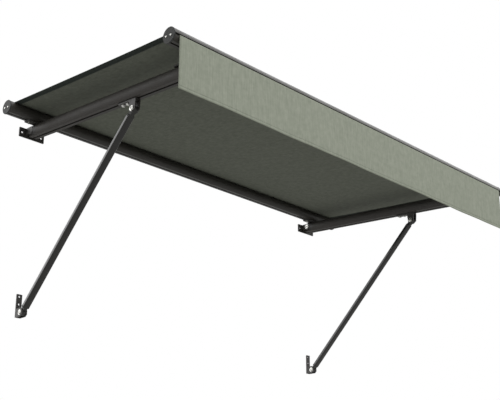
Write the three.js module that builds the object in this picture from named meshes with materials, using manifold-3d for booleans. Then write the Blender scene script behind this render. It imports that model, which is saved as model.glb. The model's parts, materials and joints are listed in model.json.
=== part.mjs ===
// Fixed-frame fabric awning: a cloth stretched between two round slotted bars that lie across
// two sloping arms, hinged on wall brackets and propped by two struts, with a hanging valance.
// Millimetres. X runs along the wall, Y = 0 is the wall, the front is towards -Y, Z is up, and
// Z = 0 is the height of the hinge bolts of the arms.

import * as THREE from 'three';
import { mergeVertices } from 'three/addons/utils/BufferGeometryUtils.js';
import Module from 'manifold-3d';

const wasm = await Module();
wasm.setup();

// Driving dimensions
const WIDTH = 2500;                 // over the end caps of the bars
const CLOTH_WIDTH = 2442;
const CLOTH_THICK = 1.2;
const ARM_X = 1055;                 // arm centre, left and right of the middle
const SLOPE = THREE.MathUtils.degToRad(5);
const HINGE_OUT = 45;               // hinge bolt to wall
const BAR_RISE = 66.1;              // bar axis above arm axis
const REAR_BAR_AT = 22.7;           // bar axes, measured down the slope from the hinge
const FRONT_BAR_AT = 1262.5;
const VALANCE_DROP = 237;
const STRUT_TOP_AT = 813.5;         // upper strut bolt, down the slope and below the arm axis
const STRUT_TOP_DROP = 78.2;
const FOOT_OUT = 42;                // lower strut bolt to wall
const FOOT_DROP = 944.2;            // lower strut bolt below the hinge bolt
const GAP = 0.3;                    // between pieces that touch

// Bar and arm extrusion
const BAR_R = 36.2;
const BAR_WALL = 2.7;
const BAR_FLAT = 29;                // axis to the top and bottom flats
const SLOT_MOUTH = 5;               // half width
const SLOT_LIP = 3;
const SLOT_HALF = 9;                // half width of the chamber behind the lips
const SLOT_DEPTH = 9.5;
const SLOT_WALL = 2.5;
const SIDE_SLOT_HALF = 8;
const SIDE_SLOT_DEPTH = 10;
const PORT_Y = 14.5;                // screw ports for the end caps
const PORT_Z = -3;
const PORT_R = 4.2;
const PORT_HOLE = 1.9;

const BOLT_R = 6;                   // pivot bolts
const BOLT_FIT = 0.3;
const SLOT_BOLT_R = 4;              // bolts into the slots
const FORK_HALF = 15;               // half width of the strut forks
const CHEEK = 4.6;
const TONGUE_HALF = FORK_HALF - CHEEK - 0.5;

// Solids -------------------------------------------------------------------------------------

function toSolid(geometry) {
  const bare = geometry.clone();
  bare.deleteAttribute('normal');
  bare.deleteAttribute('uv');
  const merged = mergeVertices(bare, 1e-4);
  const index = merged.index.array;
  const triangles = [];
  for (let i = 0; i < index.length; i += 3) {
    const [a, b, c] = [index[i], index[i + 1], index[i + 2]];
    if (a !== b && b !== c && c !== a) triangles.push(a, b, c);
  }
  const mesh = new wasm.Mesh({
    numProp: 3,
    vertProperties: new Float32Array(merged.attributes.position.array),
    triVerts: new Uint32Array(triangles),
  });
  return new wasm.Manifold(mesh);
}

function toGeometry(solid) {
  const mesh = solid.getMesh();
  const geometry = new THREE.BufferGeometry();
  geometry.setAttribute('position', new THREE.BufferAttribute(mesh.vertProperties, 3));
  geometry.setIndex(new THREE.BufferAttribute(mesh.triVerts, 1));
  geometry.computeVertexNormals();
  return geometry;
}

const join = (first, ...others) => others.reduce((sum, solid) => sum.add(solid), first);
const cut = (first, ...others) => others.reduce((sum, solid) => sum.subtract(solid), first);

const AXIS = {
  X: new THREE.Vector3(1, 0, 0),
  Y: new THREE.Vector3(0, 1, 0),
  Z: new THREE.Vector3(0, 0, 1),
};

// Outlines are lists of [a, b]: (y, z) for a prism along X, (x, z) along Y, (x, y) along Z.
function prism(outline, axis, from, to) {
  const shape = new THREE.Shape(outline.map(([a, b]) => new THREE.Vector2(a, b)));
  const geometry = new THREE.ExtrudeGeometry(shape, { depth: to - from, bevelEnabled: false });
  const turn = new THREE.Matrix4();
  const start = new THREE.Vector3();
  if (axis === 'X') {
    turn.makeBasis(AXIS.Y, AXIS.Z, AXIS.X);
    start.set(from, 0, 0);
  } else if (axis === 'Y') {
    turn.makeBasis(AXIS.X, AXIS.Z, AXIS.Y.clone().negate());
    start.set(0, to, 0);
  } else {
    start.set(0, 0, from);
  }
  geometry.applyMatrix4(turn);
  geometry.translate(start.x, start.y, start.z);
  return toSolid(geometry);
}

function arc(a, b, radius, fromDeg, toDeg, steps) {
  const points = [];
  for (let i = 0; i <= steps; i += 1) {
    const angle = THREE.MathUtils.degToRad(fromDeg + (toDeg - fromDeg) * i / steps);
    points.push([a + radius * Math.cos(angle), b + radius * Math.sin(angle)]);
  }
  return points;
}

const circle = (a, b, radius, steps = 24) => arc(a, b, radius, 0, 360, steps).slice(0, -1);
const rod = (a, b, radius, axis, from, to, steps = 24) =>
  prism(circle(a, b, radius, steps), axis, from, to);
const rectangle = (a0, a1, b0, b1) => [[a0, b0], [a1, b0], [a1, b1], [a0, b1]];
const block = (x0, x1, y0, y1, z0, z1) => prism(rectangle(x0, x1, y0, y1), 'Z', z0, z1);

function rounded(a0, a1, b0, b1, radius, steps = 4) {
  return [
    ...arc(a1 - radius, b1 - radius, radius, 0, 90, steps),
    ...arc(a0 + radius, b1 - radius, radius, 90, 180, steps),
    ...arc(a0 + radius, b0 + radius, radius, 180, 270, steps),
    ...arc(a1 - radius, b0 + radius, radius, 270, 360, steps),
  ];
}

// A strip of cloth of even thickness along a path
function ribbon(path, thickness) {
  const half = thickness / 2;
  const points = path.map(([a, b]) => new THREE.Vector2(a, b));
  const sides = [[], []];
  points.forEach((point, i) => {
    const before = point.clone().sub(points[Math.max(i - 1, 0)]).normalize();
    const after = points[Math.min(i + 1, points.length - 1)].clone().sub(point).normalize();
    const along = before.clone().add(after).normalize();
    const bend = Math.max(along.dot(after), along.dot(before));
    const normal = new THREE.Vector2(-along.y, along.x).multiplyScalar(half / bend);
    sides[0].push([point.x - normal.x, point.y - normal.y]);
    sides[1].unshift([point.x + normal.x, point.y + normal.y]);
  });
  return [...sides[0], ...sides[1]];
}

// Materials ----------------------------------------------------------------------------------

const paint = (color, roughness, metalness) =>
  new THREE.MeshStandardMaterial({ color, roughness, metalness });
const MATERIAL = {
  bar: paint(0x4b4946, 0.45, 0.6),
  fitting: paint(0x2b2a28, 0.5, 0.5),
  steel: paint(0xd0d0cd, 0.3, 1.0),
  cloth: paint(0x8f9686, 0.95, 0.0),
};

const awning = new THREE.Group();
const canopy = new THREE.Group();
canopy.position.set(0, -HINGE_OUT, 0);
canopy.rotation.x = SLOPE;
awning.add(canopy);

function piece(name, solid, material, parent, x = 0, y = 0, z = 0) {
  const mesh = new THREE.Mesh(toGeometry(solid), material);
  mesh.name = name;
  mesh.position.set(x, y, z);
  parent.add(mesh);
  return mesh;
}

// Extruded section ---------------------------------------------------------------------------

const flatHalf = Math.sqrt(BAR_R ** 2 - BAR_FLAT ** 2);
const flatAngle = THREE.MathUtils.radToDeg(Math.atan2(BAR_FLAT, flatHalf));
const innerR = BAR_R - BAR_WALL;
const innerFlat = BAR_FLAT - BAR_WALL;
const innerAngle = THREE.MathUtils.radToDeg(Math.asin(innerFlat / innerR));
const hidden = SLOT_HALF + SLOT_WALL;

// One T-slot in the bottom flat, drawn from left to right; sign = -1 mirrors it to the top
const slotPath = (sign) => [
  [-SLOT_MOUTH, -BAR_FLAT], [-SLOT_MOUTH, SLOT_LIP - BAR_FLAT],
  [-SLOT_HALF, SLOT_LIP - BAR_FLAT], [-SLOT_HALF, SLOT_DEPTH - BAR_FLAT],
  [SLOT_HALF, SLOT_DEPTH - BAR_FLAT], [SLOT_HALF, SLOT_LIP - BAR_FLAT],
  [SLOT_MOUTH, SLOT_LIP - BAR_FLAT], [SLOT_MOUTH, -BAR_FLAT],
].map(([a, b]) => [sign * a, sign * b]);

const sideMouth = THREE.MathUtils.radToDeg(Math.asin(SLOT_MOUTH / BAR_R));
const sideSlotPath = [
  [SLOT_LIP - BAR_R, SLOT_MOUTH], [SLOT_LIP - BAR_R, SIDE_SLOT_HALF],
  [SIDE_SLOT_DEPTH - BAR_R, SIDE_SLOT_HALF], [SIDE_SLOT_DEPTH - BAR_R, -SIDE_SLOT_HALF],
  [SLOT_LIP - BAR_R, -SIDE_SLOT_HALF], [SLOT_LIP - BAR_R, -SLOT_MOUTH],
];

function outerOutline(sideSlot) {
  const left = sideSlot
    ? [
      ...arc(0, 0, BAR_R, 180 - flatAngle, 180 - sideMouth, 6),
      ...sideSlotPath,
      ...arc(0, 0, BAR_R, 180 + sideMouth, 180 + flatAngle, 6),
    ]
    : arc(0, 0, BAR_R, 180 - flatAngle, 180 + flatAngle, 12);
  return [
    ...slotPath(1),
    ...arc(0, 0, BAR_R, -flatAngle, flatAngle, 12),
    ...slotPath(-1),
    ...left,
  ];
}

function hollowOutline(sideSlot) {
  const floor = BAR_FLAT - SLOT_DEPTH - SLOT_WALL;
  const boxHalf = SIDE_SLOT_HALF + SLOT_WALL;
  const boxEdge = THREE.MathUtils.radToDeg(Math.asin(boxHalf / innerR));
  const boxBack = SIDE_SLOT_DEPTH + SLOT_WALL - BAR_R;
  const left = sideSlot
    ? [
      ...arc(0, 0, innerR, 180 - innerAngle, 180 - boxEdge, 4),
      [boxBack, boxHalf], [boxBack, -boxHalf],
      ...arc(0, 0, innerR, 180 + boxEdge, 180 + innerAngle, 4),
    ]
    : arc(0, 0, innerR, 180 - innerAngle, 180 + innerAngle, 8);
  return [
    [-hidden, -innerFlat], [-hidden, -floor], [hidden, -floor], [hidden, -innerFlat],
    ...arc(0, 0, innerR, -innerAngle, innerAngle, 8),
    [hidden, innerFlat], [hidden, floor], [-hidden, floor], [-hidden, innerFlat],
    ...left,
  ];
}

function extrusion(axis, from, to, sideSlot) {
  const outside = prism(outerOutline(sideSlot), axis, from, to);
  return cut(outside, prism(hollowOutline(sideSlot), axis, from - 1, to + 1));
}

// The bars also carry two ribbed ports that take the screws of their end caps
function barSolid(length, sideSlot) {
  const half = length / 2;
  let bar = extrusion('X', -half, half, sideSlot);
  for (const side of [-1, 1]) {
    const y = side * PORT_Y;
    const rib = block(-half, half, y - 1, y + 1, 0.5 - BAR_FLAT, PORT_Z);
    const port = rod(y, PORT_Z, PORT_R, 'X', -half, half, 12);
    const hole = rod(y, PORT_Z, PORT_HOLE, 'X', -half - 1, half + 1, 8);
    bar = cut(join(bar, rib, port), hole);
  }
  return bar;
}

// Bars, end caps and cap screws --------------------------------------------------------------

const CAP_R = 37;
const CAP_THICK = 5;
const CAP_EDGE = 1.2;
const barLength = WIDTH - 2 * (CAP_THICK + GAP);

function capSolid() {
  const profile = [
    [0, 0], [CAP_R, 0], [CAP_R, CAP_THICK - CAP_EDGE], [CAP_R - CAP_EDGE, CAP_THICK], [0, CAP_THICK],
  ];
  const disc = new THREE.LatheGeometry(profile.map(([r, h]) => new THREE.Vector2(r, h)), 36);
  disc.rotateZ(-Math.PI / 2);
  return toSolid(disc);
}

function capScrew(headR, headHigh, length) {
  const profile = [
    [0, -length], [1.6, -length], [1.6, -GAP], [1.6, 0], [headR, 0],
    [headR, headHigh * 0.4], [headR * 0.7, headHigh * 0.85], [0, headHigh],
  ];
  const screw = new THREE.LatheGeometry(profile.map(([r, h]) => new THREE.Vector2(r, h)), 12);
  screw.rotateZ(-Math.PI / 2);
  return toSolid(screw);
}

const SIDES = [['left', -1], ['right', 1]];
const BARS = [['rear_bar', REAR_BAR_AT, false], ['front_bar', FRONT_BAR_AT, true]];

for (const [name, at, sideSlot] of BARS) {
  piece(name, barSolid(barLength, sideSlot), MATERIAL.bar, canopy, 0, -at, BAR_RISE);
  for (const [side, sign] of SIDES) {
    const inner = barLength / 2 + GAP;
    let cap = capSolid();
    for (const y of [-PORT_Y, PORT_Y]) {
      cap = cut(cap, rod(y, PORT_Z, PORT_HOLE + 0.4, 'X', -1, CAP_THICK + 1, 12));
    }
    // The disc is the same from both ends once it is turned half round Z and its holes follow
    const capMesh = piece(`${name}_cap_${side}`, cap, MATERIAL.fitting, canopy,
      sign * inner, -at, BAR_RISE);
    capMesh.rotation.z = sign > 0 ? 0 : Math.PI;
    [-1, 1].forEach((row, i) => {
      const screw = piece(`${name}_cap_screw_${side}_${i + 1}`, capScrew(5, 3, 22), MATERIAL.steel,
        canopy, sign * (inner + CAP_THICK + GAP), row * PORT_Y - at, BAR_RISE + PORT_Z);
      screw.rotation.z = sign > 0 ? 0 : Math.PI;
    });
  }
}

// Arms, their hinge ends and front caps ------------------------------------------------------

const KEY_BACK = 12;                // the rear key stops this far down the slope
const KEY_NECK = SLOT_MOUTH - 0.4;
const KEY_HEAD = SLOT_HALF - 0.5;
const keyHeadTop = BAR_FLAT - SLOT_LIP - 0.4;
const keyHeadLow = BAR_FLAT - SLOT_DEPTH + 0.4;
const ARM_END = FRONT_BAR_AT + 20;
const TAIL_TOP = 8;                 // the arm's lips run this far behind the hinge, cut obliquely
const TAIL_LOW = 21;
const MOUTH_HALF = 25.6;            // U-shaped mouth through the sides of the arm
const MOUTH_AT = 24;                // centre of its round end, down the slope
const KNUCKLE_R = 20;               // round end of the wall bracket's cheeks
const SADDLE_R = 22;
const SADDLE_BACK = 4;
const LUG_HALF = 12;
const LUG_R = 18;

// Sides of the mouth and its round end, drawn in (y, z)
const mouthOutline = (half, back) => [
  [back, -half], [back, half],
  ...arc(-MOUTH_AT, 0, half, 90, 270, 20),
];

function armSolid() {
  const tube = extrusion('Y', -ARM_END, TAIL_LOW + 10, false);
  const mouth = prism(mouthOutline(MOUTH_HALF, 60), 'X', -50, 50);
  const tailCut = [[TAIL_LOW, -BAR_FLAT - 5], [60, -BAR_FLAT - 5], [60, BAR_FLAT + 5],
    [TAIL_TOP, BAR_FLAT + 5]];
  return cut(tube, mouth, prism(tailCut, 'X', -50, 50));
}

function hingeEndSolid() {
  const half = MOUTH_HALF - GAP;
  const r = BAR_R - 1.6;
  const edge = THREE.MathUtils.radToDeg(Math.asin(half / r));
  const barrel = [...arc(0, 0, r, -edge, edge, 10), ...arc(0, 0, r, 180 - edge, 180 + edge, 10)];
  const saddle = prism(barrel, 'Y', -80, 0)
    .intersect(prism(mouthOutline(half, -SADDLE_BACK), 'X', -50, 50));
  const hollow = rod(0, 0, SADDLE_R, 'X', -50, 50, 36);
  const keyway = block(-SLOT_HALF, SLOT_HALF, -90, 0, keyHeadLow - 0.5, 40);
  const lug = join(
    rod(0, 0, LUG_R, 'X', -LUG_HALF, LUG_HALF, 28),
    block(-LUG_HALF, LUG_HALF, -30, 0, -LUG_R, LUG_R),
  );
  const spigot = block(-25, 25, -100, -40, -15.5, 15.5);
  const bolt = rod(0, 0, BOLT_R + BOLT_FIT, 'X', -50, 50);
  return cut(join(cut(saddle, hollow, keyway), lug, spigot), bolt);
}

function armCapSolid() {
  const plate = prism(circle(0, 0, BAR_R, 36), 'Y', -5, 0);
  const flats = block(-40, 40, -6, 1, -BAR_FLAT, BAR_FLAT);
  const plug = block(-24, 24, -1, 15, -15, 15);
  return join(plate.intersect(flats), plug);
}

for (const [side, sign] of SIDES) {
  const x = sign * ARM_X;
  piece(`arm_${side}`, armSolid(), MATERIAL.bar, canopy, x);
  piece(`arm_hinge_end_${side}`, hingeEndSolid(), MATERIAL.fitting, canopy, x);
  piece(`arm_front_cap_${side}`, armCapSolid(), MATERIAL.fitting, canopy, x, -ARM_END - GAP);
}

// Bolts --------------------------------------------------------------------------------------

// Hexagon bolt along Z with its washer under the head, and the slot nut on its end.
// The seat, under the washer, is at z = 0 and the shank runs up.
function slotBolt(grip) {
  const washer = rod(0, 0, 9.5, 'Z', -1.8, 0, 16);
  const head = rod(0, 0, 8, 'Z', -7.5, -1.7, 6);
  const shank = rod(0, 0, SLOT_BOLT_R, 'Z', -1, grip + 1, 10);
  const nut = block(-7.5, 7.5, -7.5, 7.5, grip, grip + 5);
  return join(washer, head, shank, nut);
}

// Pivot bolt along X: washer, domed head with a hexagon socket, and a plain shank.
// The seat is at x = 0, the head stands on the -X side.
const HEAD_R = 10.5;
const WASHER_R = 13;
const HEAD_HIGH = 2.6;

function domedHead() {
  const profile = [
    [0, 0], [WASHER_R, 0], [WASHER_R, 2], [HEAD_R, 2], [HEAD_R, 2 + HEAD_HIGH * 0.5],
    [HEAD_R * 0.75, 2 + HEAD_HIGH], [0, 2 + HEAD_HIGH],
  ];
  const head = new THREE.LatheGeometry(profile.map(([r, h]) => new THREE.Vector2(r, h)), 20);
  head.rotateZ(Math.PI / 2);
  const socket = rod(0, 0, 4.8, 'X', -HEAD_HIGH - 3, -1.2, 6);
  return cut(toSolid(head), socket);
}

const pivotBolt = (length) => join(domedHead(), rod(0, 0, BOLT_R, 'X', -0.5, length, 16));
const pivotNut = () => cut(domedHead(), rod(0, 0, BOLT_R + BOLT_FIT, 'X', -0.8, 1, 16));

// Connectors between bars and arms -----------------------------------------------------------

const PLATE = BAR_RISE - 2 * (BAR_FLAT + GAP);
const plateLow = BAR_FLAT + GAP;
const plateTop = plateLow + PLATE;
const REAR_PLATE_X = 76;
const REAR_BOLT_X = 59;
const REAR_PLATE_Y = 23;
const FRONT_PLATE_X = 34;
const FRONT_PLATE_BACK = FRONT_BAR_AT - 154;
const FRONT_PLATE_END = ARM_END - 2;
const boltHole = (x, y) => rod(x, y, SLOT_BOLT_R + 0.5, 'Z', 0, 60, 16);

function rearConnector() {
  const y = -REAR_BAR_AT;
  const outline = rounded(-REAR_PLATE_X, REAR_PLATE_X, y - REAR_PLATE_Y, y + REAR_PLATE_Y, 5);
  const plate = prism(outline, 'Z', plateLow, plateTop);
  const neck = block(-KEY_NECK, KEY_NECK, y - REAR_PLATE_Y, -KEY_BACK, keyHeadTop - 1, plateLow + 1);
  const key = block(-KEY_HEAD, KEY_HEAD, y - REAR_PLATE_Y, -KEY_BACK, keyHeadLow, keyHeadTop);
  return cut(join(plate, neck, key), boltHole(-REAR_BOLT_X, y), boltHole(REAR_BOLT_X, y));
}

const FRONT_BOLTS = [FRONT_PLATE_BACK + 22, FRONT_PLATE_BACK + 72];

function frontConnector() {
  const y = -FRONT_BAR_AT;
  const outline = rounded(-FRONT_PLATE_X, FRONT_PLATE_X, -FRONT_PLATE_END, -FRONT_PLATE_BACK, 5);
  const plate = prism(outline, 'Z', plateLow, plateTop);
  const slotFace = BAR_RISE - BAR_FLAT;
  const neckLow = slotFace + SLOT_LIP + 0.4;
  const neck = block(-FRONT_PLATE_X, FRONT_PLATE_X, y - KEY_NECK, y + KEY_NECK, plateTop - 1, neckLow + 1);
  const key = block(-FRONT_PLATE_X, FRONT_PLATE_X, y - KEY_HEAD, y + KEY_HEAD,
    neckLow, slotFace + SLOT_DEPTH - 0.4);
  return cut(join(plate, neck, key), ...FRONT_BOLTS.map((at) => boltHole(0, -at)));
}

for (const [side, sign] of SIDES) {
  const x = sign * ARM_X;
  piece(`rear_connector_${side}`, rearConnector(), MATERIAL.fitting, canopy, x);
  piece(`front_connector_${side}`, frontConnector(), MATERIAL.fitting, canopy, x);
  [-1, 1].forEach((end, i) => {
    piece(`rear_connector_bolt_${side}_${i + 1}`, slotBolt(PLATE + SLOT_LIP + 1.2), MATERIAL.steel,
      canopy, x + end * REAR_BOLT_X, -REAR_BAR_AT, plateLow - GAP);
  });
  FRONT_BOLTS.forEach((at, i) => {
    const bolt = piece(`front_connector_bolt_${side}_${i + 1}`, slotBolt(PLATE + SLOT_LIP + 1.2),
      MATERIAL.steel, canopy, x, -at, plateTop + GAP);
    bolt.rotation.x = Math.PI;
  });
}

// Wall brackets ------------------------------------------------------------------------------

const WALL_PLATE = 6;
const UPPER_HALF = 72.5;
const UPPER_TOP = KNUCKLE_R;
const UPPER_LOW = -30;
const ANCHOR_X = 56;
const ANCHOR_R = 5.5;
const KNUCKLE_HALF = 35;
const NECK_LOW = 12;
const BLIND = 3;                    // wall left outside the tapped end of the hinge bolt

function upperBracket(sign) {
  const plateOutline = rounded(-UPPER_HALF, UPPER_HALF, UPPER_LOW, UPPER_TOP, 3);
  const plate = prism(plateOutline, 'Y', -WALL_PLATE, 0);
  const cheekOutline = [
    [-WALL_PLATE + 1, KNUCKLE_R],
    ...arc(-HINGE_OUT, 0, KNUCKLE_R, 90, 300, 24),
    [-WALL_PLATE + 1, -NECK_LOW],
  ];
  const inner = LUG_HALF + 0.5;
  const cheeks = join(
    prism(cheekOutline, 'X', -KNUCKLE_HALF, -inner),
    prism(cheekOutline, 'X', inner, KNUCKLE_HALF),
  );
  // The hinge bolt goes in from the middle of the awning and ends blind in the outer cheek
  const bore = sign < 0
    ? rod(-HINGE_OUT, 0, BOLT_R + BOLT_FIT, 'X', BLIND - KNUCKLE_HALF, KNUCKLE_HALF + 1)
    : rod(-HINGE_OUT, 0, BOLT_R + BOLT_FIT, 'X', -KNUCKLE_HALF - 1, KNUCKLE_HALF - BLIND);
  const z = (UPPER_TOP + UPPER_LOW) / 2;
  const anchors = [-ANCHOR_X, ANCHOR_X].map((x) => rod(x, z, ANCHOR_R, 'Y', -20, 10, 20));
  return cut(join(plate, cheeks), bore, ...anchors);
}

const LOWER_TOP = 97;               // lower plate, above and below the strut bolt
const LOWER_LOW = -20;
const CHEEK_TOP = 23;
const CHEEK_OUT = 60;
const LOWER_ANCHORS = [85, 47];

function lowerBracket() {
  const plate = prism(rounded(-FORK_HALF, FORK_HALF, LOWER_LOW, LOWER_TOP, 2.5), 'Y', -WALL_PLATE, 0);
  const cheekOutline = [
    [-WALL_PLATE + 1, CHEEK_TOP - 1],
    [-WALL_PLATE + 1, LOWER_LOW],
    [-CHEEK_OUT + 12, LOWER_LOW],
    [-CHEEK_OUT, LOWER_LOW + 10],
    [-CHEEK_OUT, CHEEK_TOP - 14],
    [-CHEEK_OUT + 14, CHEEK_TOP - 1],
  ].reverse();
  const cheeks = join(
    prism(cheekOutline, 'X', -FORK_HALF, CHEEK - FORK_HALF),
    prism(cheekOutline, 'X', FORK_HALF - CHEEK, FORK_HALF),
  );
  const bore = rod(-FOOT_OUT, 0, BOLT_R + BOLT_FIT, 'X', -30, 30);
  const anchors = LOWER_ANCHORS.map((z) => rod(0, z, 5, 'Y', -20, 10, 20));
  return cut(join(plate, cheeks), bore, ...anchors);
}

for (const [side, sign] of SIDES) {
  const x = sign * ARM_X;
  piece(`upper_bracket_${side}`, upperBracket(sign), MATERIAL.fitting, awning, x);
  const hinge = piece(`hinge_bolt_${side}`, pivotBolt(2 * KNUCKLE_HALF - BLIND - 1), MATERIAL.steel,
    awning, x - sign * (KNUCKLE_HALF + GAP), -HINGE_OUT, 0);
  hinge.rotation.z = sign < 0 ? Math.PI : 0;
  piece(`lower_bracket_${side}`, lowerBracket(), MATERIAL.fitting, awning, x, 0, -FOOT_DROP);
}

// Struts with their brackets under the arms --------------------------------------------------

const BASE = 8;
const BASE_BACK = 107;              // bracket base, towards the wall and the front of its bolt
const BASE_FRONT = 21.5;
const BASE_BOLTS = [85, 52];
const CHEEK_BACK = 27;
const CHEEK_R = 17;
const STRUT_PLAY = 3.2;             // play of the upper strut bolt in its tongue

function strutBracket() {
  const top = STRUT_TOP_DROP - BAR_FLAT - GAP;
  const low = top - BASE;
  const base = prism(rounded(-FORK_HALF, FORK_HALF, -BASE_FRONT, BASE_BACK, 4), 'Z', low, top);
  const cheekOutline = [
    [-BASE_FRONT, low + 1], [-BASE_FRONT, -2],
    ...arc(0, 0, CHEEK_R, 250, 345, 8),
    [CHEEK_BACK, low + 1],
  ];
  const cheeks = join(
    prism(cheekOutline, 'X', -FORK_HALF, CHEEK - FORK_HALF),
    prism(cheekOutline, 'X', FORK_HALF - CHEEK, FORK_HALF),
  );
  const bore = rod(0, 0, BOLT_R + BOLT_FIT, 'X', -30, 30);
  const holes = BASE_BOLTS.map((y) => rod(0, y, SLOT_BOLT_R + 0.5, 'Z', low - 5, top + 5, 16));
  return cut(join(base, cheeks), bore, ...holes);
}

const topY = -HINGE_OUT - STRUT_TOP_AT * Math.cos(SLOPE) + STRUT_TOP_DROP * Math.sin(SLOPE);
const topZ = -STRUT_TOP_AT * Math.sin(SLOPE) - STRUT_TOP_DROP * Math.cos(SLOPE);
const reachY = topY + FOOT_OUT;
const reachZ = topZ + FOOT_DROP;
const strutLength = Math.hypot(reachY, reachZ);
const strutTilt = Math.atan2(-reachY, reachZ);

const TUBE_X = 17.5;
const TUBE_Y = 10;
const TUBE_WALL = 2;
const TUBE_EDGE = 4;
const TUBE_START = 40;
const SHOULDER = 31;

function strutTube() {
  const from = TUBE_START;
  const to = strutLength - TUBE_START;
  const outside = prism(rounded(-TUBE_X, TUBE_X, -TUBE_Y, TUBE_Y, TUBE_EDGE), 'Z', from, to);
  const x = TUBE_X - TUBE_WALL;
  const y = TUBE_Y - TUBE_WALL;
  return cut(outside, prism(rounded(-x, x, -y, y, TUBE_EDGE - TUBE_WALL), 'Z', from - 1, to + 1));
}

// End fitting: tongue round the bolt at z = 0, shoulder, and spigot in the tube
function strutEnd(boreR) {
  const tongue = join(
    rod(0, 0, CHEEK_R - 1, 'X', -TONGUE_HALF, TONGUE_HALF, 28),
    block(-TONGUE_HALF, TONGUE_HALF, 1 - CHEEK_R, CHEEK_R - 1, 0, 14),
    block(-TONGUE_HALF, TONGUE_HALF, -TUBE_Y, TUBE_Y, 0, SHOULDER + 1),
  );
  const shoulder = prism(rounded(-TUBE_X, TUBE_X, -TUBE_Y, TUBE_Y, TUBE_EDGE), 'Z',
    SHOULDER, TUBE_START - GAP);
  const x = TUBE_X - TUBE_WALL - GAP;
  const y = TUBE_Y - TUBE_WALL - GAP;
  const spigot = prism(rounded(-x, x, -y, y, 2), 'Z', TUBE_START - 1, TUBE_START + 30);
  return cut(join(tongue, shoulder, spigot), rod(0, 0, boreR, 'X', -30, 30));
}

for (const [side, sign] of SIDES) {
  const x = sign * ARM_X;
  const carriage = new THREE.Group();
  carriage.position.set(x, -STRUT_TOP_AT, -STRUT_TOP_DROP);
  canopy.add(carriage);
  piece(`strut_bracket_${side}`, strutBracket(), MATERIAL.fitting, carriage);
  const baseLow = STRUT_TOP_DROP - BAR_FLAT - GAP - BASE;
  BASE_BOLTS.forEach((y, i) => {
    piece(`strut_bracket_bolt_${side}_${i + 1}`, slotBolt(BASE + SLOT_LIP + 1.2), MATERIAL.steel,
      carriage, 0, y, baseLow - GAP);
  });

  const strut = new THREE.Group();
  strut.position.set(x, -FOOT_OUT, -FOOT_DROP);
  strut.rotation.x = strutTilt;
  awning.add(strut);
  piece(`strut_${side}`, strutTube(), MATERIAL.bar, strut);
  piece(`strut_foot_${side}`, strutEnd(BOLT_R + BOLT_FIT), MATERIAL.fitting, strut);
  const head = piece(`strut_head_${side}`, strutEnd(BOLT_R + STRUT_PLAY), MATERIAL.fitting,
    strut, 0, 0, strutLength);
  head.rotation.x = Math.PI;

  const seat = FORK_HALF + GAP;
  const grip = 2 * seat + 0.4;
  const PIVOTS = [['strut_pivot', carriage, 0, 0, 0], ['foot_pivot', awning, x, -FOOT_OUT, -FOOT_DROP]];
  for (const [name, parent, px, py, pz] of PIVOTS) {
    const bolt = piece(`${name}_bolt_${side}`, pivotBolt(grip), MATERIAL.steel, parent,
      px + sign * seat, py, pz);
    const nut = piece(`${name}_nut_${side}`, pivotNut(), MATERIAL.steel, parent,
      px - sign * seat, py, pz);
    bolt.rotation.z = sign < 0 ? 0 : Math.PI;
    nut.rotation.z = sign < 0 ? Math.PI : 0;
  }
}

// Cloth --------------------------------------------------------------------------------------

const BEAD_R = 3;

function canopyCloth() {
  const bead = BAR_RISE + BAR_FLAT - (SLOT_LIP + SLOT_DEPTH) / 2;
  const top = BAR_RISE + BAR_FLAT + GAP + CLOTH_THICK / 2;
  const half = CLOTH_WIDTH / 2;
  const path = [
    [-REAR_BAR_AT, bead], [-REAR_BAR_AT, top], [-FRONT_BAR_AT, top], [-FRONT_BAR_AT, bead],
  ];
  return join(
    prism(ribbon(path, CLOTH_THICK), 'X', -half, half),
    rod(-REAR_BAR_AT, bead, BEAD_R, 'X', -half, half, 10),
    rod(-FRONT_BAR_AT, bead, BEAD_R, 'X', -half, half, 10),
  );
}

function valanceCloth() {
  const half = CLOTH_WIDTH / 2;
  const bead = -(SLOT_LIP + SIDE_SLOT_DEPTH) / 2 + BAR_R;
  const out = BAR_R + 1.2;
  const path = [
    [-bead, 0], [-out, 0],
    [-out - VALANCE_DROP * Math.sin(SLOPE), -VALANCE_DROP * Math.cos(SLOPE)],
  ];
  return join(
    prism(ribbon(path, CLOTH_THICK), 'X', -half, half),
    rod(-bead, 0, BEAD_R, 'X', -half, half, 10),
  );
}

piece('canopy_cloth', canopyCloth(), MATERIAL.cloth, canopy);
piece('valance', valanceCloth(), MATERIAL.cloth, canopy, 0, -FRONT_BAR_AT, BAR_RISE);

export default awning;
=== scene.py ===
import json
import math
from functools import partial

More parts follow.
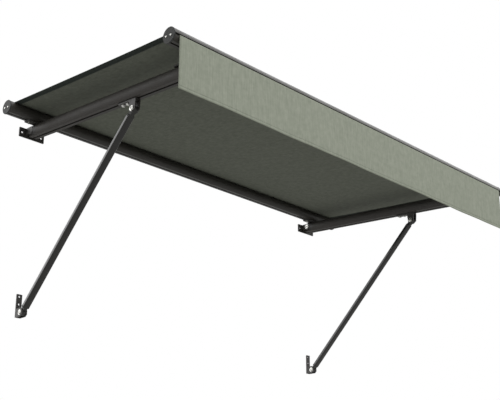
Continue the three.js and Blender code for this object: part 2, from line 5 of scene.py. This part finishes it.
import bpy
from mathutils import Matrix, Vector

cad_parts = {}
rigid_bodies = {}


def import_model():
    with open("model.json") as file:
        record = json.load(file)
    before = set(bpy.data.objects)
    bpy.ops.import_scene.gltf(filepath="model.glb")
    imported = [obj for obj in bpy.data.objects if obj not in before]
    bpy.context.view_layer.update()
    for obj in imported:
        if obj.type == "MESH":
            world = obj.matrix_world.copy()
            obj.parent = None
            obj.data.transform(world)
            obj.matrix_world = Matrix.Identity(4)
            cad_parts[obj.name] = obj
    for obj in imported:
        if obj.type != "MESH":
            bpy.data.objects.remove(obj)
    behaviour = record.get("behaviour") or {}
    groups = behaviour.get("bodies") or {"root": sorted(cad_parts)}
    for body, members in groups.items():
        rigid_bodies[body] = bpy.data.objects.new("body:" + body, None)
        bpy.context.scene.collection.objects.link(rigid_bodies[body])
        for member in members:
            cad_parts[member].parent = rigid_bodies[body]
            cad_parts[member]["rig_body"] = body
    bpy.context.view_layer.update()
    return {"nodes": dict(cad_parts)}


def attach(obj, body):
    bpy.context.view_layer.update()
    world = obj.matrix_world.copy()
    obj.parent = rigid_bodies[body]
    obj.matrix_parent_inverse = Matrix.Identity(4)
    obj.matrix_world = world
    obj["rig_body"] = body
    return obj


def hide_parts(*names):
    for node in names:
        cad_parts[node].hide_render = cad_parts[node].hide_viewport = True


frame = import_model()
nodes = frame["nodes"]
bpy.ops.object.select_all(action="DESELECT")


# Bars and arms --------------------------------------------------------------------------------
# Extruded aluminium profile, round with flats and T-slots, cut to length and powder coated in
# a warm near-black. The coat is satin, with a fine orange peel and a faint change of tone. The
# arms' coat is flatter than the bars', and painted a little lighter as painted light that fills
# their shaded upper sides.

def linear(code):
    channels = [int(code[i:i + 2], 16) / 255 for i in (1, 3, 5)]
    return [*(c / 12.92 if c <= 0.04045 else ((c + 0.055) / 1.055) ** 2.4 for c in channels), 1.0]


def add(material, kind, inputs=(), **settings):
    node = material.node_tree.nodes.new(kind)
    for name, value in settings.items():
        setattr(node, name, value)
    for socket, value in dict(inputs).items():
        if isinstance(value, bpy.types.NodeSocket):
            material.node_tree.links.new(value, node.inputs[socket])
        else:
            node.inputs[socket].default_value = value
    return node


def blank(name):
    material = bpy.data.materials.new(name)
    material.use_nodes = True
    material.node_tree.nodes.clear()
    return material


def shade(material, **inputs):
    sockets = {name.replace("_", " "): value for name, value in inputs.items()}
    surface = add(material, "ShaderNodeBsdfPrincipled", sockets)
    add(material, "ShaderNodeOutputMaterial", {"Surface": surface.outputs[0]})
    return material


def powder_coat(name, dark, light, roughness, peel=0.0016, relief=0.00012, shine=0.5,
                lacquer=0.0):
    """Polyester powder melted on metal. peel is the real width of its waves and relief their
    height, in metres, and lacquer is how much clear coat lies over it."""
    coat = blank(name)
    place = add(coat, "ShaderNodeTexCoord").outputs["Object"]
    cloudy = add(coat, "ShaderNodeTexNoise", {"Vector": place, "Scale": 1 / 0.09, "Detail": 3.0})
    waves = add(coat, "ShaderNodeTexNoise", {"Vector": place, "Scale": 1 / peel, "Detail": 2.0})
    speck = add(coat, "ShaderNodeTexNoise", {"Vector": place, "Scale": 1 / 0.006, "Detail": 4.0})
    tone = add(coat, "ShaderNodeMath", {0: cloudy.outputs[0], 1: speck.outputs[0]}, operation="ADD")
    tone = add(coat, "ShaderNodeMapRange",
               {0: tone.outputs[0], "From Min": 0.7, "From Max": 1.3}).outputs[0]
    colour = add(coat, "ShaderNodeMix",
                 {0: tone, 6: linear(dark), 7: linear(light)}, data_type="RGBA")
    gloss = add(coat, "ShaderNodeMapRange", {
        0: cloudy.outputs[0], "From Min": 0.3, "From Max": 0.7,
        "To Min": roughness - 0.05, "To Max": roughness + 0.07})
    bump = add(coat, "ShaderNodeBump",
               {"Strength": 0.5, "Distance": relief, "Height": waves.outputs[0]})
    return shade(coat, Base_Color=colour.outputs[2], Roughness=gloss.outputs[0],
                 Normal=bump.outputs[0], IOR=1.5, Specular_IOR_Level=shine,
                 Coat_Weight=lacquer, Coat_Roughness=0.06)


def coat_pieces(material, *names):
    """Stands a copy in for each CAD piece. Its triangles are joined, so that its curves shade
    smoothly while its cut edges stay crisp, and then it takes its material."""
    for name in names:
        copy = bpy.data.objects.new(f"{name}_coated", nodes[name].data.copy())
        bpy.context.scene.collection.objects.link(copy)
        bpy.ops.object.select_all(action="DESELECT")
        copy.select_set(True)
        bpy.context.view_layer.objects.active = copy
        bpy.ops.mesh.customdata_custom_splitnormals_clear()
        bpy.ops.object.mode_set(mode="EDIT")
        bpy.ops.mesh.select_all(action="SELECT")
        bpy.ops.mesh.remove_doubles(threshold=1e-6)
        bpy.ops.object.mode_set(mode="OBJECT")
        bpy.ops.object.shade_smooth_by_angle(angle=math.radians(35))
        copy.data.materials.clear()
        copy.data.materials.append(material)
        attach(copy, nodes[name]["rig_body"])
        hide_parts(name)
    bpy.ops.object.select_all(action="DESELECT")


profile_coat = powder_coat("powder_coated_profile", "#272522", "#302e2a", 0.42, shine=0.35)
# The arms take the bars' coat painted lighter: painted light filling the shade on their upper
# sides.
arm_coat_painted_light = powder_coat("powder_coated_arm_profile_painted_light", "#2c2a27", "#363330", 0.6, shine=0.35)
coat_pieces(profile_coat, "rear_bar", "front_bar")
coat_pieces(arm_coat_painted_light, "arm_left", "arm_right")


# Struts ---------------------------------------------------------------------------------------
# Rounded rectangular aluminium tube, powder coated darker than the arms and lacquered. The
# clear lacquer puts a bright line along its corners.

strut_coat = powder_coat("powder_coated_strut_tube", "#161514", "#1f1e1c", 0.2,
                         shine=0.2, lacquer=0.45)
coat_pieces(strut_coat, "strut_left", "strut_right")


# Connectors, wall brackets and strut brackets ---------------------------------------------------
# Steel and aluminium plate, cut, folded or milled, and powder coated nearly black. The waves
# of the coat are wider than on the profile.

plate_coat = powder_coat("powder_coated_plate", "#211f1d", "#2b2927", 0.5, peel=0.0022)
bracket_coat = powder_coat("powder_coated_bracket", "#23211f", "#302e2b", 0.46, peel=0.002)
for side in ("left", "right"):
    coat_pieces(plate_coat, f"rear_connector_{side}", f"front_connector_{side}")
    coat_pieces(bracket_coat, f"upper_bracket_{side}", f"lower_bracket_{side}",
                 f"strut_bracket_{side}")


# Bar end caps ---------------------------------------------------------------------------------
# Discs of die cast zinc with a textured coat: light and dark grains about a millimetre wide,
# which are drawn four times as coarse, because they would not show otherwise.

cap_coat = blank("textured_die_cast_cap")
cap_place = add(cap_coat, "ShaderNodeTexCoord").outputs["Object"]
grains = add(cap_coat, "ShaderNodeTexNoise",
             {"Vector": cap_place, "Scale": 1 / 0.004, "Detail": 3.0})
grain_tone = add(cap_coat, "ShaderNodeMapRange",
                 {0: grains.outputs[0], "From Min": 0.38, "From Max": 0.62}).outputs[0]
grain_colour = add(cap_coat, "ShaderNodeMix",
                   {0: grain_tone, 6: linear("#141514"), 7: linear("#343534")}, data_type="RGBA")
grain_bump = add(cap_coat, "ShaderNodeBump",
                 {"Strength": 0.6, "Distance": 0.0003, "Height": grains.outputs[0]})
shade(cap_coat, Base_Color=grain_colour.outputs[2], Roughness=0.55, Normal=grain_bump.outputs[0],
      Specular_IOR_Level=0.3)
for bar in ("rear_bar", "front_bar"):
    coat_pieces(cap_coat, f"{bar}_cap_left", f"{bar}_cap_right")


# End fittings ---------------------------------------------------------------------------------
# Moulded glass-filled nylon in the ends of the arms and struts: black, matt, with the faint
# swirl that glass fibre leaves on a moulded face.

nylon = blank("moulded_glass_filled_nylon")
nylon_place = add(nylon, "ShaderNodeTexCoord").outputs["Object"]
swirl = add(nylon, "ShaderNodeTexNoise",
            {"Vector": nylon_place, "Scale": 1 / 0.012, "Detail": 5.0, "Distortion": 1.6})
pits = add(nylon, "ShaderNodeTexNoise",
           {"Vector": nylon_place, "Scale": 1 / 0.0012, "Detail": 2.0})
nylon_tone = add(nylon, "ShaderNodeMapRange",
                 {0: swirl.outputs[0], "From Min": 0.35, "From Max": 0.65}).outputs[0]
nylon_colour = add(nylon, "ShaderNodeMix",
                   {0: nylon_tone, 6: linear("#171716"), 7: linear("#242321")}, data_type="RGBA")
nylon_bump = add(nylon, "ShaderNodeBump",
                 {"Strength": 0.4, "Distance": 0.0001, "Height": pits.outputs[0]})
shade(nylon, Base_Color=nylon_colour.outputs[2], Roughness=0.6, Normal=nylon_bump.outputs[0],
      IOR=1.53)
for side in ("left", "right"):
    coat_pieces(nylon, f"arm_hinge_end_{side}", f"arm_front_cap_{side}",
                 f"strut_foot_{side}", f"strut_head_{side}")


# Screws and bolts -----------------------------------------------------------------------------
# Cold formed stainless steel, tumbled bright. The turned faces keep fine marks that spread
# the light, and a little dirt dulls them in patches.

stainless = blank("tumbled_stainless_steel")
steel_place = add(stainless, "ShaderNodeTexCoord").outputs["Object"]
marks = add(stainless, "ShaderNodeTexNoise",
            {"Vector": steel_place, "Scale": 1 / 0.0008, "Detail": 3.0})
dirt = add(stainless, "ShaderNodeTexNoise",
           {"Vector": steel_place, "Scale": 1 / 0.005, "Detail": 2.0})
dirt_tone = add(stainless, "ShaderNodeMapRange",
                {0: dirt.outputs[0], "From Min": 0.35, "From Max": 0.7}).outputs[0]
steel_colour = add(stainless, "ShaderNodeMix",
                   {0: dirt_tone, 6: linear("#dcdcd8"), 7: linear("#b4b3ae")}, data_type="RGBA")
steel_gloss = add(stainless, "ShaderNodeMapRange", {0: dirt_tone, "To Min": 0.24, "To Max": 0.42})
steel_bump = add(stainless, "ShaderNodeBump",
                 {"Strength": 0.3, "Distance": 0.00005, "Height": marks.outputs[0]})
shade(stainless, Base_Color=steel_colour.outputs[2], Metallic=1.0,
      Roughness=steel_gloss.outputs[0], Normal=steel_bump.outputs[0])
coat_pieces(stainless, *(n for n in nodes if "screw" in n or "bolt" in n or "nut" in n))


# Canopy cloth ---------------------------------------------------------------------------------
# Woven acrylic canvas, stretched between the bars and held in their top slots by a bead sewn
# in each end. Its sides are folded into hems and sewn. It is grey green on top, and its lower
# face is the same canvas painted darker, as painted shade.

SLOPE = math.radians(5)
HINGE_OUT = 0.045
CLOTH_HALF = 1.221
REAR_SLOT = 0.0227                  # down the slope from the hinge line
FRONT_SLOT = 1.2625
CLOTH_UP = 0.0960                   # above the axis of the arms
SLOT_BEAD_UP = 0.0889
SAG = 0.004
CANVAS_THICK = 0.0007
THREAD_PITCH = 0.0025               # the real half millimetre, drawn coarser or it would not show


def on_canopy(x, down, up):
    """A place across the awning, down the slope from the hinge line and above the arms' axis."""
    return Vector((x, -HINGE_OUT - down * math.cos(SLOPE) - up * math.sin(SLOPE),
                   up * math.cos(SLOPE) - down * math.sin(SLOPE)))


WAVE_AT_SCALE_ONE = 0.314           # the length of one band of a wave texture, in metres


def canvas(name, dark, light, slub, along):
    """Spun acrylic: thread-dyed yarns of two tones. slub is the size of the uneven places in
    the yarn, across and along the streaks, which run on the axis that "along" names."""
    cloth = blank(name)
    place = add(cloth, "ShaderNodeTexCoord").outputs["Object"]
    across, length = slub
    size = [1 / length if axis == along else 1 / across for axis in "XYZ"]
    stretch = add(cloth, "ShaderNodeMapping", {"Vector": place, "Scale": size})
    streaks = add(cloth, "ShaderNodeTexNoise",
                  {"Vector": stretch.outputs[0], "Scale": 1.0, "Detail": 4.0})
    patches = add(cloth, "ShaderNodeTexNoise",
                  {"Vector": place, "Scale": 1 / 0.025, "Detail": 6.0, "Roughness": 0.65})
    both = add(cloth, "ShaderNodeMath",
               {0: streaks.outputs[0], 1: patches.outputs[0]}, operation="ADD")
    tone = add(cloth, "ShaderNodeMapRange",
               {0: both.outputs[0], "From Min": 0.72, "From Max": 1.28}).outputs[0]
    colour = add(cloth, "ShaderNodeMix",
                 {0: tone, 6: linear(dark), 7: linear(light)}, data_type="RGBA")
    warp, weft = (
        add(cloth, "ShaderNodeTexWave",
            {"Vector": place, "Scale": WAVE_AT_SCALE_ONE / THREAD_PITCH, "Distortion": 0.6,
             "Detail": 1.0}, bands_direction=axis)
        for axis in ("X", along))
    weave = add(cloth, "ShaderNodeMath", {0: warp.outputs["Fac"], 1: weft.outputs["Fac"]},
                operation="MULTIPLY")
    height = add(cloth, "ShaderNodeMath",
                 {0: streaks.outputs[0], 1: weave.outputs[0]}, operation="ADD")
    bump = add(cloth, "ShaderNodeBump",
               {"Strength": 0.35, "Distance": 0.0004, "Height": height.outputs[0]})
    return shade(cloth, Base_Color=colour.outputs[2], Roughness=0.9, Normal=bump.outputs[0],
                 Specular_IOR_Level=0.12, Sheen_Weight=0.05, Sheen_Roughness=0.5)


def sheet_of(name, columns, rows, place_of):
    """A grid of cloth whose vertices place_of puts by column and row, both from 0."""
    bpy.ops.mesh.primitive_grid_add(x_subdivisions=columns, y_subdivisions=rows, size=1)
    cloth = bpy.context.object
    cloth.name = cloth.data.name = name
    for i, vertex in enumerate(cloth.data.vertices):
        row, column = divmod(i, columns + 1)
        vertex.co = place_of(column / columns, row)
    bpy.ops.object.shade_smooth()
    return cloth


def thicken(cloth, back=0):
    """Gives a sheet the thickness of the canvas. back is how many materials further down the
    list its other face takes."""
    layer = cloth.modifiers.new("thickness", "SOLIDIFY")
    layer.thickness = CANVAS_THICK
    layer.offset = 0.0
    layer.material_offset = back
    bpy.context.view_layer.objects.active = cloth
    bpy.ops.object.modifier_apply(modifier="thickness")


canvas_top = canvas("acrylic_canvas_outside", "#757a6d", "#888c80", (0.008, 0.03), "Y")
# The lower face is the top canvas painted darker: painted shade under the awning.
shaded_canvas_below = canvas("acrylic_canvas_inside_painted_shade", "#51544b", "#5f6258", (0.012, 0.03), "Y")
# The side hems are painted much darker: painted shade of the double layer, which lets less light
# through.
hem_painted_shade = canvas("acrylic_canvas_double_hem_painted_shade", "#1d231f", "#262d28", (0.008, 0.03), "Y")

thread = blank("twisted_polyester_thread")
thread_place = add(thread, "ShaderNodeTexCoord").outputs["Object"]
twist = add(thread, "ShaderNodeTexWave",
            {"Vector": thread_place, "Scale": WAVE_AT_SCALE_ONE / 0.0006},
            bands_direction="DIAGONAL")
thread_colour = add(thread, "ShaderNodeMix",
                    {0: twist.outputs["Fac"], 6: linear("#3f443c"), 7: linear("#565b51")},
                    data_type="RGBA")
shade(thread, Base_Color=thread_colour.outputs[2], Roughness=0.7, Specular_IOR_Level=0.3)

# The rows of the cloth, from bead to bead, as places down the slope and above the arms' axis
tuck = [(REAR_SLOT, SLOT_BEAD_UP), (REAR_SLOT, CLOTH_UP - 0.0025),
        (REAR_SLOT + 0.0008, CLOTH_UP - 0.0007), (REAR_SLOT + 0.0026, CLOTH_UP)]
span = FRONT_SLOT - REAR_SLOT
stations = tuck + [(REAR_SLOT + span * i / 48, CLOTH_UP) for i in range(1, 48)]
stations += [(REAR_SLOT + FRONT_SLOT - down, up) for down, up in reversed(tuck)]


def canopy_point(x, down, up):
    """A place on the cloth, let down by its sag and by faint ripples."""
    part = (down - REAR_SLOT) / span
    slack = 4 * part * (1 - part)
    ripple = 0.0007 * math.sin(x * 17 + 3 * part) + 0.0005 * math.sin(x * 41 - 5 * part)
    return on_canopy(x, down, up - slack * (SAG + ripple))


def canopy_place(across, row):
    return canopy_point((2 * across - 1) * CLOTH_HALF, *stations[row])


STITCH = (0.0027, 0.0008, 0.0008)
STITCH_STEP = 0.004


def row_of_stitches(name, count, place_of):
    """Lock stitches in a straight row on X, which place_of then lays on the cloth."""
    bpy.ops.mesh.primitive_cube_add(size=1)
    row = bpy.context.object
    row.name = row.data.name = name
    bpy.ops.object.mode_set(mode="EDIT")
    bpy.ops.transform.resize(value=STITCH)
    bpy.ops.mesh.bevel(offset=0.00025, segments=1)
    bpy.ops.object.mode_set(mode="OBJECT")
    repeat = row.modifiers.new("row", "ARRAY")
    repeat.count = count
    repeat.use_relative_offset = False
    repeat.use_constant_offset = True
    repeat.constant_offset_displace = (STITCH_STEP, 0, 0)
    bpy.ops.object.modifier_apply(modifier="row")
    for vertex in row.data.vertices:
        vertex.co = place_of(*vertex.co)
    row.data.materials.append(thread)
    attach(row, "canopy")
    return row


canopy_sheet = sheet_of("canopy_sheet", 180, len(stations) - 1, canopy_place)
for material in (shaded_canvas_below, canvas_top):
    canopy_sheet.data.materials.append(material)
thicken(canopy_sheet, back=1)
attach(canopy_sheet, "canopy")
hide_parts("canopy_cloth")

HEM = 0.035
HEM_DROP = 0.0008                   # middle of the hem below the middle of the cloth
TUCKED_ROWS = len(tuck) - 1         # the hem leaves out the rows inside each slot


def hem_place(sign, across, row):
    """The hem lies under the cloth and reaches a hair past its edge."""
    x = sign * (CLOTH_HALF + 0.0003 - across * HEM)
    point = canopy_place((x / CLOTH_HALF + 1) / 2, row + TUCKED_ROWS)
    return point - on_canopy(0, 0, HEM_DROP) + on_canopy(0, 0, 0)


def hem_stitch(sign, along, across, lift):
    """The row runs 4 mm inside the hem's free edge, half sunk in its lower face."""
    x = sign * (CLOTH_HALF - HEM + 0.004 - across)
    return canopy_point(x, REAR_SLOT + 0.006 + along, CLOTH_UP - 0.0017 + lift)


hems = []
for side, sign in (("left", -1), ("right", 1)):
    hem = sheet_of(f"canopy_hem_{side}", 6, len(stations) - 1 - 2 * TUCKED_ROWS,
                   partial(hem_place, sign))
    hem.data.materials.append(hem_painted_shade)
    thicken(hem)
    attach(hem, "canopy")
    seam = row_of_stitches(f"canopy_hem_stitches_{side}", int(span / STITCH_STEP) - 2,
                           partial(hem_stitch, sign))
    hems += [hem, seam]


# Valance --------------------------------------------------------------------------------------
# A strip of the same canvas that hangs from a bead in the side slot of the front bar. Its
# lower edge and its ends are turned back and sewn, and the free edge waves a little.

VALANCE_DROP = 0.237
VALANCE_OUT = 1.2999                # down the slope from the hinge line
BAR_UP = 0.0661                     # axis of the bar above the axis of the arms
TURN = 0.014                        # width of the valance's hems
LAYER = 0.0009                      # from the middle of one layer of cloth to the next
SEAM_AT = VALANCE_DROP - TURN

canvas_valance = canvas("acrylic_canvas_valance", "#797e71", "#8a8e81", (0.005, 0.07), "Z")

# The rows of the cloth: out of the slot, then down, with the last five on the lower hem
corner = on_canopy(0, VALANCE_OUT, BAR_UP)
slot_run = [on_canopy(0, VALANCE_OUT - d, BAR_UP) for d in (0.007, 0.003, 0.0012)]
hem_drops = [SEAM_AT - 0.002, SEAM_AT, SEAM_AT + 0.002, VALANCE_DROP - 0.006, VALANCE_DROP]
drops = [0.0008, 0.003] + [0.006 + (VALANCE_DROP - 0.026) * i / 14 for i in range(15)]
drops += hem_drops
valance_rows = len(slot_run) + len(drops)


def valance_point(x, drop, back):
    """A place on the hanging cloth, which waves more the nearer it is to the free edge."""
    free = (drop / VALANCE_DROP) ** 2
    wave = free * (0.0016 * math.sin(x * 9.3 + 0.6) + 0.0008 * math.sin(x * 23 + 2))
    return Vector((x, corner.y + wave + back, corner.z - drop))


def valance_place(across, row):
    x = (2 * across - 1) * CLOTH_HALF
    if row < len(slot_run):
        return Vector((x, *slot_run[row].yz))
    drop = drops[row - len(slot_run)]
    groove = 0.0006 if drop == SEAM_AT else 0.0
    return valance_point(x, drop, groove)


valance_sheet = sheet_of("valance_sheet", 180, valance_rows - 1, valance_place)
valance_sheet.data.materials.append(canvas_valance)
thicken(valance_sheet)
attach(valance_sheet, "canopy")
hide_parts("valance")


def lower_hem_place(across, row):
    point = valance_place(across, valance_rows - len(hem_drops) + row)
    return point + Vector((0, LAYER, 0))


def end_hem_place(sign, across, row):
    """The end hem lies behind the cloth and the lower hem."""
    x = sign * (CLOTH_HALF + 0.0002 - across * TURN)
    point = valance_place((x / CLOTH_HALF + 1) / 2, row + len(slot_run) + 1)
    return point + Vector((0, 2 * LAYER, 0))


def lower_stitch(along, back, up):
    return valance_point(along - CLOTH_HALF + 0.005, SEAM_AT - up, back - 0.0002)


lower_hem = sheet_of("valance_lower_hem", 180, len(hem_drops) - 1, lower_hem_place)
lower_hem.data.materials.append(canvas_valance)
thicken(lower_hem)
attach(lower_hem, "canopy")
for side, sign in (("left", -1), ("right", 1)):
    hem = sheet_of(f"valance_end_hem_{side}", 3, len(drops) - 2, partial(end_hem_place, sign))
    hem.data.materials.append(canvas_valance)
    thicken(hem)
    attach(hem, "canopy")

lower_seam = row_of_stitches("valance_lower_stitches", int(2 * CLOTH_HALF / STITCH_STEP) - 1,
                             lower_stitch)


# Floor, light and camera ----------------------------------------------------------------------
# A pale floor far below, an even bright sky, three large soft lamps, and a camera that looks up
# at the awning from the front and the left.

bpy.ops.mesh.primitive_plane_add(size=80, location=(0, 0, -4.5))
floor = bpy.context.object
floor.name = "floor"
pale = blank("pale_floor")
floor_place = add(pale, "ShaderNodeTexCoord").outputs["Object"]
trowel = add(pale, "ShaderNodeTexNoise", {"Vector": floor_place, "Scale": 0.8, "Detail": 4.0})
floor_colour = add(pale, "ShaderNodeMix",
                   {0: trowel.outputs[0], 6: linear("#b6b6b4"), 7: linear("#bdbdbb")},
                   data_type="RGBA")
shade(pale, Base_Color=floor_colour.outputs[2], Roughness=0.9)
floor.data.materials.append(pale)

sky = bpy.data.worlds.new("bright_sky")
sky.use_nodes = True
background = sky.node_tree.nodes["Background"]
background.inputs["Color"].default_value = (1, 1, 1, 1)
background.inputs["Strength"].default_value = 1.0
bpy.context.scene.world = sky
bpy.context.scene.view_settings.view_transform = "Standard"

middle = Vector((0, -0.7, -0.4))
lamps = [
    ("soft_lamp_left", Vector((-5.3, 5.8, 2.1)), 4.0, 120),
    ("soft_lamp_front", Vector((-1.5, -7.0, 3.0)), 5.0, 168),
    ("soft_lamp_top", Vector((4.0, -2.2, 4.5)), 6.0, 190),
]
for name, spot, size, power in lamps:
    lamp = bpy.data.lights.new(name, "AREA")
    lamp.size = size
    lamp.energy = power
    holder = bpy.data.objects.new(name, lamp)
    holder.location = spot
    holder.rotation_mode = "QUATERNION"
    holder.rotation_quaternion = (middle - spot).to_track_quat("-Z", "Y")
    holder.visible_camera = False
    bpy.context.scene.collection.objects.link(holder)

eye = bpy.data.cameras.new("eye")
eye.lens = 68.34
eye.shift_y = 0.1
eye.clip_start, eye.clip_end = 0.1, 200
eye_holder = bpy.data.objects.new("eye", eye)
eye_holder.location = (-3.428, -3.934, -2.040)
eye_holder.rotation_euler = (math.radians(90 + 17.68), 0, math.radians(44.78 - 90))
bpy.context.scene.collection.objects.link(eye_holder)
bpy.context.scene.camera = eye_holder
